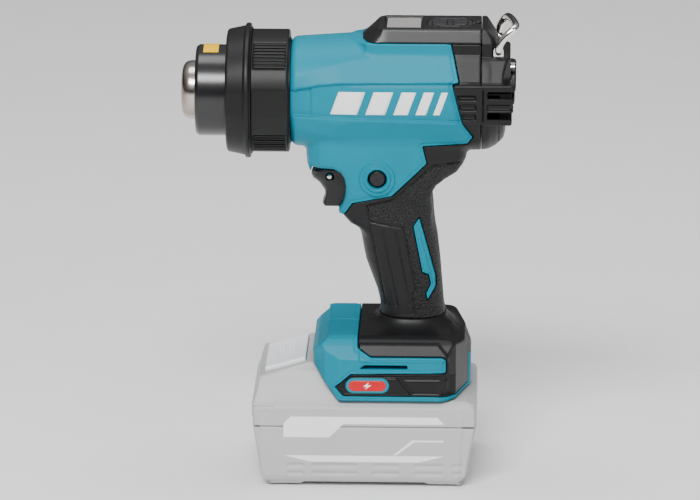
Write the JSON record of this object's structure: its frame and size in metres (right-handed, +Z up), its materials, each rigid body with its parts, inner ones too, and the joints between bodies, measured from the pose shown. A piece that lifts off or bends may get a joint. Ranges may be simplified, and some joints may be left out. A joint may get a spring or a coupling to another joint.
{
  "type": "cordless heat gun",
  "caption": "Pistol-grip cordless heat gun with steel nozzle, twist-on guard, top display and keys, hanging hook, and a battery pack that slides under its foot.",
  "frame": {"origin": "on the battery's underside, under the middle of the whole object", "axes": "+Z up; -X is the way the nozzle blows; -Y is the tool's left side"},
  "size_m": [0.164, 0.077, 0.2278],
  "materials": {
    "teal_plastic": "satin moulded glass-filled nylon",
    "black_elastomer": "matt, leather-grained elastomer",
    "black_plastic": "satin moulded plastic",
    "key_rubber": "matt silicone",
    "lcd_window": "glossy grey window",
    "inner_plastic": "plain",
    "circuit_board": "solder mask",
    "nozzle_steel": "polished stainless",
    "polished_steel": "polished",
    "black_enamel": "satin heat-proof enamel",
    "yellow_label": "plain printed foil",
    "mica": "mica sheet",
    "ceramic": "unglazed",
    "plain_steel": "plain",
    "brass": "machined",
    "red_badge": "glossy badge",
    "wire_insulation": "insulated wire",
    "battery_grey": "pale moulded plastic",
    "button_grey": "pale moulded plastic"
  },
  "bodies": {
    "housing": {"left_housing": "teal_plastic", "right_housing": "teal_plastic", "left_grip_cover": "black_elastomer", "right_grip_cover": "black_elastomer", "left_foot_panel": "black_plastic", "right_foot_panel": "black_plastic", "console_housing": "black_plastic", "control_pad": "key_rubber", "lcd_lens": "lcd_window", "lcd_module": "inner_plastic", "display_board": "circuit_board", "nozzle_tube": "nozzle_steel", "nozzle_sleeve": "black_enamel", "nozzle_label": "yellow_label", "neck_ring": "black_plastic", "heat_shield": "mica", "heater_core": "ceramic", "heating_coil": "plain_steel", "heater_plates": "mica", "temperature_probe": "plain_steel", "fan_duct": "inner_plastic", "motor": "plain_steel", "motor_mount": "inner_plastic", "intake_screen": "plain_steel", "trigger_pin": "polished_steel", "trigger_spring": "plain_steel", "switch_body": "inner_plastic", "housing_screws": "plain_steel", "hook_inserts": "brass", "side_badges": "red_badge", "terminal_block": "inner_plastic", "terminal_blades": "brass", "controller_board": "circuit_board", "power_leads": "wire_insulation", "motor_leads": "wire_insulation", "rear_cover": "black_plastic", "rear_screw": "polished_steel", "hook_eyelets": "polished_steel"},
    "guard": {"front_guard": "black_plastic", "guard_collar": "black_plastic"},
    "fan": {"impeller": "inner_plastic", "motor_shaft": "plain_steel"},
    "trigger": {"trigger": "black_plastic"},
    "plunger": {"switch_plunger": "inner_plastic"},
    "lock": {"lock_button": "black_plastic"},
    "hook": {"hook": "polished_steel"},
    "key_front": {"key_front": "key_rubber"},
    "key_rear": {"key_rear": "key_rubber"},
    "key_left": {"key_left": "key_rubber"},
    "key_right": {"key_right": "key_rubber"},
    "battery": {"battery_lower_case": "battery_grey", "battery_upper_case": "battery_grey", "battery_cells": "plain_steel", "cell_holder": "inner_plastic", "battery_board": "circuit_board", "battery_contacts": "brass", "latch_spring": "plain_steel", "battery_screws": "plain_steel"},
    "release": {"release_button": "button_grey", "release_latch": "button_grey"}
  },
  "joints": [
    {"name": "guard_twist", "type": "hinge", "parent": "housing", "child": "guard", "pos_m": [-0.0375, 0, 0.1905], "axis": [1, 0, 0], "range_deg": [0, 25]},
    {"name": "fan_spin", "type": "hinge", "parent": "housing", "child": "fan", "pos_m": [0.0275, 0, 0.1905], "axis": [1, 0, 0], "continuous": true},
    {"name": "trigger_pull", "type": "hinge", "parent": "housing", "child": "trigger", "pos_m": [-0.0092, 0, 0.1494], "axis": [0, -1, 0], "range_deg": [0, 12], "stiffness_Nm_per_rad": 0.3, "springref_deg": -5.73},
    {"name": "plunger_slide", "type": "slide", "parent": "housing", "child": "plunger", "axis": [1, 0, 0], "range_m": [0, 0.0025]},
    {"name": "lock_push", "type": "slide", "parent": "housing", "child": "lock", "axis": [0, 1, 0], "range_m": [0, 0.003]},
    {"name": "hook_swing", "type": "hinge", "parent": "housing", "child": "hook", "pos_m": [0.0726, 0, 0.2144], "axis": [0, 1, 0], "range_deg": [-15, 60]},
    {"name": "key_front_press", "type": "slide", "parent": "housing", "child": "key_front", "axis": [0, 0, -1], "range_m": [0, 0.0006], "stiffness_N_per_m": 800, "springref_m": -0.0004},
    {"name": "key_rear_press", "type": "slide", "parent": "housing", "child": "key_rear", "axis": [0, 0, -1], "range_m": [0, 0.0006], "stiffness_N_per_m": 800, "springref_m": -0.0004},
    {"name": "key_left_press", "type": "slide", "parent": "housing", "child": "key_left", "axis": [0, 0, -1], "range_m": [0, 0.0006], "stiffness_N_per_m": 800, "springref_m": -0.0004},
    {"name": "key_right_press", "type": "slide", "parent": "housing", "child": "key_right", "axis": [0, 0, -1], "range_m": [0, 0.0006], "stiffness_N_per_m": 800, "springref_m": -0.0004},
    {"name": "battery_slide", "type": "slide", "parent": "housing", "child": "battery", "axis": [-1, 0, 0], "range_m": [0, 0.085]},
    {"name": "release_press", "type": "slide", "parent": "battery", "child": "release", "axis": [0, 0, -1], "range_m": [0, 0.003], "stiffness_N_per_m": 600, "springref_m": -0.002, "deforming": ["latch_spring"]}
  ],
  "couplings": [
    {"joint": "plunger_slide", "follows": "trigger_pull", "m_per_rad": 0.0115}
  ]
}
